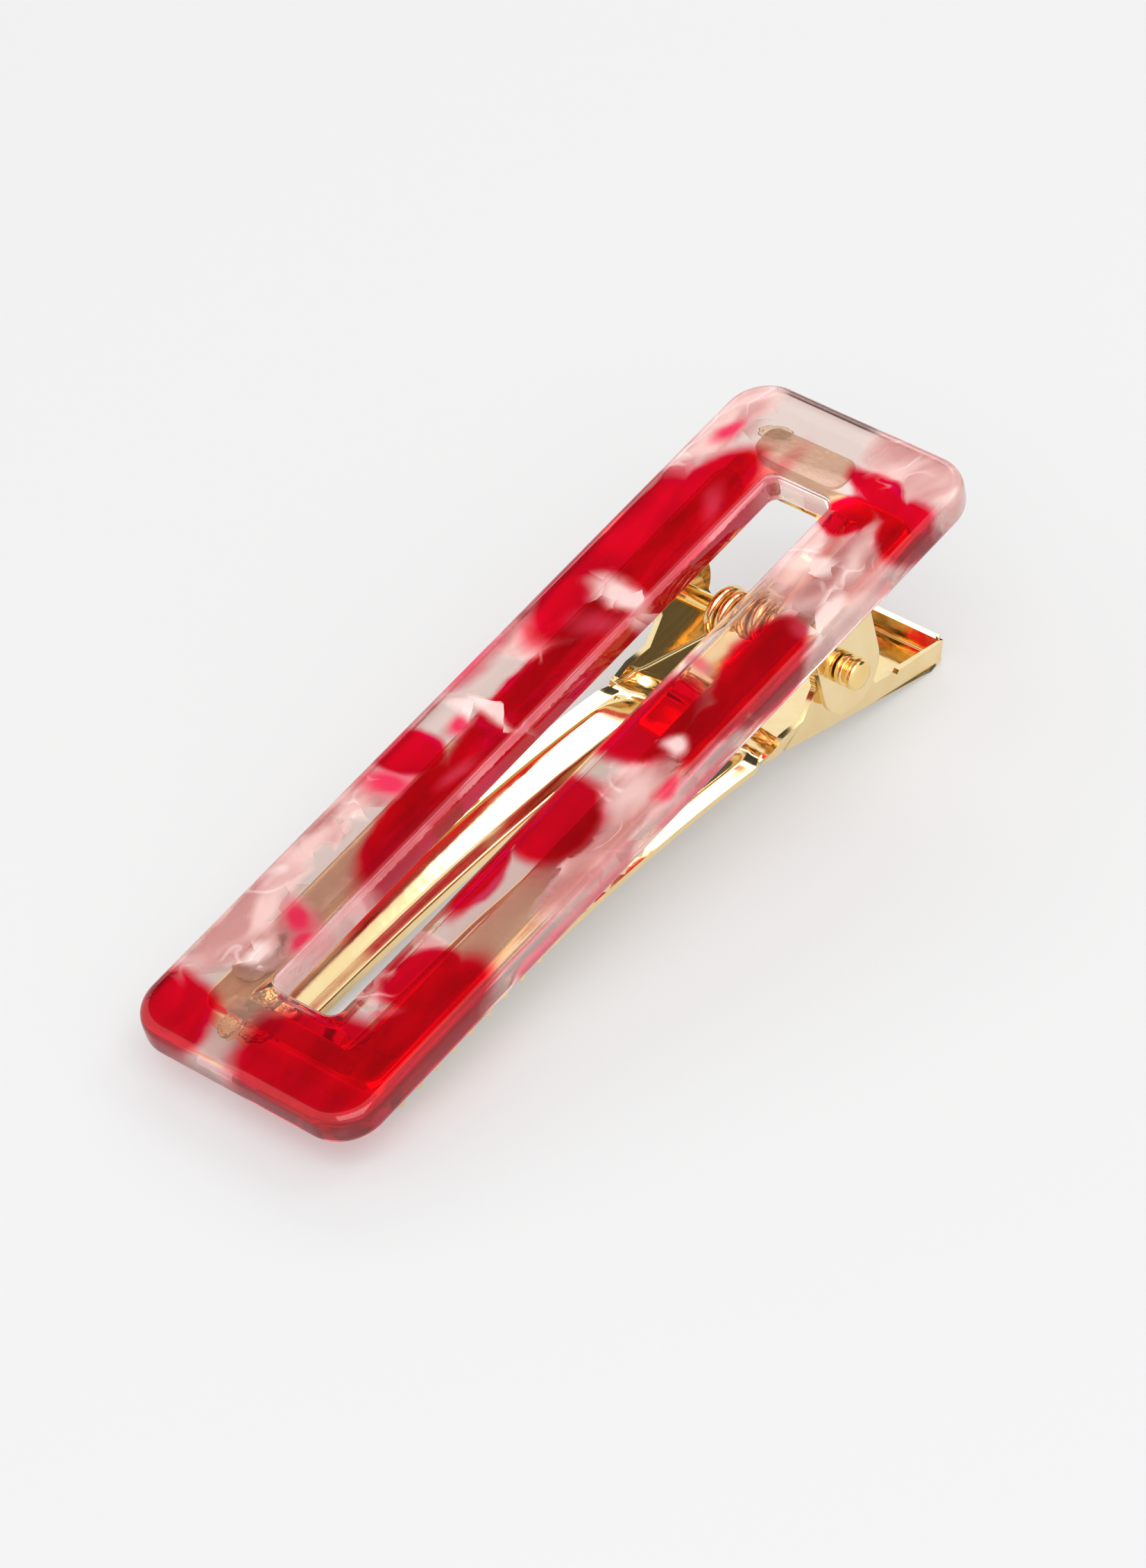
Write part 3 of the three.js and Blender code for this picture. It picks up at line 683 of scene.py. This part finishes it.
def sideWall(bm, side, half):
    # one flat wall: its foot is the floor's edge, its top runs over the ear that holds the pin
    x = side * half
    foot = [v for v in bm.verts if near(v.co.x, x) and v.co.y > lower["wallFrom"]
            and v.is_boundary and v.co.z < topZ(x, v.co.y) + 0.1]
    foot.sort(key=lambda v: v.co.y)
    corner = next(v for v in bm.verts if near(v.co.x, x)
                  and v.co.y > lower["backEnd"] + lower["lean"] / 2)
    ear, high = lower["earRadius"], lower["wall"]
    # the wall's top edge: a small nick, then up round the ear and down to the neck
    profile = [(64.9, floorZ(64.9) + high), (64.6, floorZ(64.6) + high - 0.35),
               (64.2, floorZ(64.2) + high + 0.05), (62.2, floorZ(62.2) + high),
               (pivotY + ear, pivotZ - 1.2), (pivotY + ear, pivotZ + ear),
               (pivotY - ear, pivotZ + ear), (pivotY - ear, pivotZ - 0.5),
               (54.2, -7.45), (51.9, -7.1), (50.5, -7.35)]
    top = [bm.verts.new((x, y, z)) for y, z in profile]
    bm.faces.new(foot + [corner] + top)
    shoulders = [v for v in top if near(v.co.z, pivotZ + ear)]
    bmesh.ops.bevel(bm, geom=shoulders, offset=ear * 0.99, segments=8, profile=0.5,
                    affect="VERTICES", material=-1)
    upright = [e for e in corner.link_edges if e.other_vert(corner) is foot[-1]]
    return upright + [e for e in bm.edges if all(v in foot for v in e.verts)]


lowerArm()
print("lower arm made")

# pivot pin with its two heads

pin = {
    "steps": 40,
    # along X, radius: shank, then the right head's two collars with a groove between them
    "shape": [(-9.62, 0.0), (-9.6, 0.75), (-9.45, 1.12), (-9.2, 1.28), (-8.62, 1.3), (-8.62, 0.78),
              (8.62, 0.78), (8.62, 1.2), (8.7, 1.27), (9.2, 1.27), (9.28, 1.2), (9.32, 0.97),
              (9.42, 1.03), (9.52, 1.03), (9.61, 0.97), (9.65, 1.18), (9.73, 1.26), (10.08, 1.25),
              (10.27, 1.12), (10.36, 0.8), (10.41, 0.4), (10.42, 0.0)],
}


def pivotPin():
    bm = bmesh.new()
    points = [bm.verts.new((x, pivotY, pivotZ + r)) for x, r in pin["shape"]]
    edges = [bm.edges.new(pair) for pair in zip(points, points[1:])]
    bmesh.ops.spin(bm, geom=points + edges, cent=(0, pivotY, pivotZ), axis=(1, 0, 0),
                   angle=2 * math.pi, steps=pin["steps"], use_merge=True)
    bmesh.ops.remove_doubles(bm, verts=bm.verts[:], dist=0.001)
    outward(bm, bm.faces[:])
    newPiece("pivotPin", bm, pinGold, "frame", ["pivot_pin"], sharpAt=50)


pivotPin()
print("pivot pin made")

# torsion spring: coil with its lower leg on the lever, upper leg under the back bar

spring = {"wire": 0.45, "coil": 1.75, "half": 3.7, "turns": 7, "around": 14, "perTurn": 30,
          "lowerLegAt": 9.0, "upperLegAt": 9.55, "sidestep": 0.2, "clear": 0.08, "tipShare": 0.35}


def leaveAngle(end, way):
    # where on the coil a straight leg to the given end leaves it
    return math.atan2(end[1], end[0]) + way * math.acos(spring["coil"] / math.hypot(*end))


def wireRing(bm, angle, x):
    outwards = Vector((0, math.cos(angle), math.sin(angle)))
    tangent = Vector((1, 0, 0)).cross(outwards)
    turn = Matrix((Vector((1, 0, 0)), outwards, tangent)).transposed().to_4x4()
    centre = Vector((x, pivotY, pivotZ)) + outwards * spring["coil"]
    bmesh.ops.create_circle(bm, cap_ends=True, segments=spring["around"], radius=spring["wire"],
                            matrix=Matrix.Translation(centre) @ turn)
    return centre


def pullOut(bm, face, by):
    made = bmesh.ops.extrude_face_region(bm, geom=[face])["geom"]
    bmesh.ops.translate(bm, vec=by, verts=vertsOf(made))
    if face.is_valid:
        bmesh.ops.delete(bm, geom=[face], context="FACES_ONLY")
    return next(f for f in made if isinstance(f, bmesh.types.BMFace))


lowerLegEnd = (spring["lowerLegAt"],
               floorZ(pivotY + spring["lowerLegAt"]) - pivotZ + spring["wire"] * 1.1)
upperLegEnd = (spring["upperLegAt"],
               upper["top"] - upper["sheet"] - pivotZ - spring["wire"] - spring["clear"])


def roundTip(bm, face):
    # breaks the wire's cut end
    bmesh.ops.bevel(bm, geom=list(face.edges), offset=spring["wire"] * spring["tipShare"],
                    segments=2, profile=0.5, affect="EDGES", material=-1)


def springCoil():
    bm = bmesh.new()
    start = leaveAngle(lowerLegEnd, -1)
    stop = leaveAngle(upperLegEnd, 1) - 2 * math.pi * spring["turns"]
    startX = -spring["half"] + spring["wire"]
    wireRing(bm, start, startX)
    cap = bm.faces[:][0]
    centre = cap.calc_center_median()
    steps = round(spring["turns"] * spring["perTurn"])
    reach = 2 * (spring["half"] - spring["wire"])
    ringEdges = list(cap.edges)
    bmesh.ops.spin(bm, geom=ringEdges + list(cap.verts), cent=(0, pivotY, pivotZ),
                   axis=(1, 0, 0), dvec=(reach / steps, 0, 0), angle=stop - start, steps=steps)
    loose = [e for e in bm.edges if e.is_boundary and middle(e).x > 0]
    bmesh.ops.contextual_create(bm, geom=loose)
    leg = Vector((startX, pivotY + lowerLegEnd[0], pivotZ + lowerLegEnd[1])) - centre
    pullOut(bm, cap, leg)
    bmesh.ops.remove_doubles(bm, verts=bm.verts[:], dist=0.0001)
    outward(bm, bm.faces[:])
    for face in [f for f in bm.faces if len(f.verts) == spring["around"]]:
        roundTip(bm, face)
    newPiece("springCoil", bm, wireGold, "lever_arm", ["spring_coil"])


def springUpperLeg():
    bm = bmesh.new()
    x = spring["half"] - spring["wire"] + spring["sidestep"]
    angle = leaveAngle(upperLegEnd, 1)
    wireRing(bm, angle, x)
    cap = bm.faces[:][0]
    leg = Vector((x, pivotY + upperLegEnd[0], pivotZ + upperLegEnd[1])) - cap.calc_center_median()
    made = bmesh.ops.extrude_face_region(bm, geom=[cap])["geom"]
    bmesh.ops.translate(bm, vec=leg, verts=vertsOf(made))
    outward(bm, bm.faces[:])
    for face in [f for f in bm.faces if len(f.verts) == spring["around"]]:
        roundTip(bm, face)
    newPiece("springUpperLeg", bm, wireGold, "frame", ["spring_upper_leg"])


springCoil()
springUpperLeg()
print("spring made")

# adhesive between the plate and the acetate

film = {
    "thick": 0.25, "under": -0.1,
    # piece, the part it stands for, middle, size and corner in mm, material
    "pads": (("glueLeft", "adhesive_left", (-6.85, 37.2), (2.4, 58.0), 1.0, glue),
             ("glueRight", "adhesive_right", (6.85, 37.2), (2.4, 58.0), 1.0, glue),
             ("glueFront", "adhesive_front", (0.0, 6.1), (12.0, 1.6), 0.7, glue),
             ("glueBack", "adhesive_back", (-2.9, 70.1), (8.6, 3.0), 1.1, thickGlue)),
}


def gluePad(name, node, centre, size, corner, material):
    bm = bmesh.new()
    ring = newRing(bm, size[0], size[1], (centre[0], centre[1], film["under"]), corner, 5)
    bmesh.ops.contextual_create(bm, geom=ring)
    made = bmesh.ops.extrude_face_region(bm, geom=bm.faces[:])["geom"]
    bmesh.ops.translate(bm, vec=(0, 0, -film["thick"]), verts=vertsOf(made))
    outward(bm, bm.faces[:])
    newPiece(name, bm, material, "frame", [node])


bead = {
    "thick": 0.13, "at": -0.18, "lumps": 0.22, "lumpScale": 2.4,
    # beads pressed out past the plate: x, y, half width, half length, turn in degrees
    "places": [(-3.6, 7.4, 1.1, 1.9, -20), (-2.2, 5.2, 1.3, 1.2, 30), (-4.4, 4.6, 0.8, 1.3, 10),
               (-1.9, 8.2, 0.6, 0.9, 60), (-6.4, 71.0, 1.5, 0.8, 12), (6.1, 48.6, 0.28, 0.34, 0),
               (6.9, 49.8, 0.22, 0.26, 0), (5.6, 50.9, 0.3, 0.26, 0), (7.3, 51.6, 0.2, 0.2, 0)],
}


def glueBeads():
    bm = bmesh.new()
    for x, y, wide, long, turn in bead["places"]:
        ball = bmesh.ops.create_icosphere(bm, subdivisions=4, radius=1.0)["verts"]
        for v in ball:
            v.co *= 1 + bead["lumps"] * noise.noise(v.co * bead["lumpScale"] + Vector((x, y, 0)))
        bmesh.ops.scale(bm, vec=(wide, long, bead["thick"]), verts=ball)
        bmesh.ops.rotate(bm, verts=ball, cent=(0, 0, 0),
                         matrix=Matrix.Rotation(math.radians(turn), 3, "Z"))
        bmesh.ops.translate(bm, vec=(x, y, bead["at"]), verts=ball)
    newPiece("glueBeads", bm, wrinkledGlue, "frame", [], sharpAt=180)


for pad in film["pads"]:
    gluePad(*pad)
glueBeads()
print("adhesive made")

# floor, light and camera

table = {"size": 1.6, "colour": "#a0a0a0", "glow": 0.33}


def paperFloor():
    # opal light table under matt film: lit a little from below, so shadows stay pale
    material, tree = newMaterial("opalLightTable")
    shader = addNode(tree, "ShaderNodeBsdfPrincipled", {
        "Base Color": fromHex(table["colour"]), "Roughness": 0.75, "Specular IOR Level": 0.2,
        "Emission Color": fromHex("#ffffff"), "Emission Strength": table["glow"]})
    finishMaterial(tree, shader)
    bm = bmesh.new()
    bmesh.ops.create_grid(bm, x_segments=1, y_segments=1, size=table["size"] / 2)
    mesh = bpy.data.meshes.new("paperFloor")
    bm.to_mesh(mesh)
    bm.free()
    mesh.materials.append(material)
    floor = bpy.data.objects.new("paperFloor", mesh)
    bpy.context.scene.collection.objects.link(floor)


def softbox(name, at, size, watts):
    light = bpy.data.lights.new(name, "AREA")
    light.shape = "RECTANGLE"
    light.size, light.size_y = size
    light.energy = watts
    lamp = bpy.data.objects.new(name, light)
    lamp.location = at
    lamp.rotation_euler = (-Vector(at)).to_track_quat("-Z", "Y").to_euler()  # aimed at the clip
    bpy.context.scene.collection.objects.link(lamp)


studio = {
    "walls": 1.0,  # brightness of the pale room
    # two dark patches: where it is, over which cosines it fades in, how dark it gets. The first
    # is what the flat top mirrors, so that the ruby stays deep; the second darkens the lever
    "patches": (((-0.53, 0.29, 0.8), (0.955, 0.99), 0.06), ((0.53, 0.76, 0.37), (0.9, 0.96), 0.12)),
    # softboxes: name, place in m, size in m, power in W
    "boxes": (("keySoftbox", (-0.42, 0.48, 0.47), (0.56, 0.26), 1.0),
              ("frontSoftbox", (0.38, -0.33, 0.73), (0.8, 0.8), 6.2),
              ("stripSoftbox", (0.25, 0.5, 0.7), (0.3, 0.3), 0.8)),
}


def studioLight():
    world = bpy.data.worlds.new("paleStudio")
    bpy.context.scene.world = world
    world.use_nodes = True
    tree = world.node_tree
    tree.nodes.clear()
    direction = addNode(tree, "ShaderNodeTexCoord").outputs["Generated"]
    level = studio["walls"]
    for at, (low, high), dark in studio["patches"]:
        towards = addNode(tree, "ShaderNodeVectorMath", {
            0: direction, 1: Vector(at).normalized()}, operation="DOT_PRODUCT")
        shade = addNode(tree, "ShaderNodeMapRange", {
            "Value": towards.outputs["Value"], "From Min": low, "From Max": high,
            "To Min": 1.0, "To Max": dark}, interpolation_type="SMOOTHSTEP")
        level = times(tree, level, shade.outputs[0])
    sky = addNode(tree, "ShaderNodeBackground", {"Color": fromHex("#ffffff"), "Strength": level})
    addNode(tree, "ShaderNodeOutputWorld", {"Surface": sky.outputs[0]})
    for name, at, size, watts in studio["boxes"]:
        softbox(name, at, size, watts)


view = {"target": (0.0, 0.9985, 7.098), "distance": 547.2, "azimuth": 43.173, "elevation": 39.06,
        "roll": 4.123, "lens": 113.32, "filmHeight": 24.0}


def productCamera():
    azimuth, elevation = math.radians(view["azimuth"]), math.radians(view["elevation"])
    back = Vector((math.cos(elevation) * math.sin(azimuth),
                   -math.cos(elevation) * math.cos(azimuth), math.sin(elevation)))
    target = Vector(view["target"]) * 0.001
    data = bpy.data.cameras.new("productCamera")
    data.sensor_fit = "VERTICAL"
    data.sensor_height = view["filmHeight"]
    data.lens = view["lens"]
    data.clip_start, data.clip_end = 0.01, 20.0
    camera = bpy.data.objects.new("productCamera", data)
    level = back.to_track_quat("Z", "Y").to_matrix()
    turn = level @ Matrix.Rotation(-math.radians(view["roll"]), 3, "Z")
    place = target + back * view["distance"] * 0.001
    camera.matrix_world = Matrix.Translation(place) @ turn.to_4x4()
    bpy.context.scene.collection.objects.link(camera)
    bpy.context.scene.camera = camera


paperFloor()
studioLight()
productCamera()
bpy.context.scene.view_settings.view_transform = "Standard"
print("stage set")
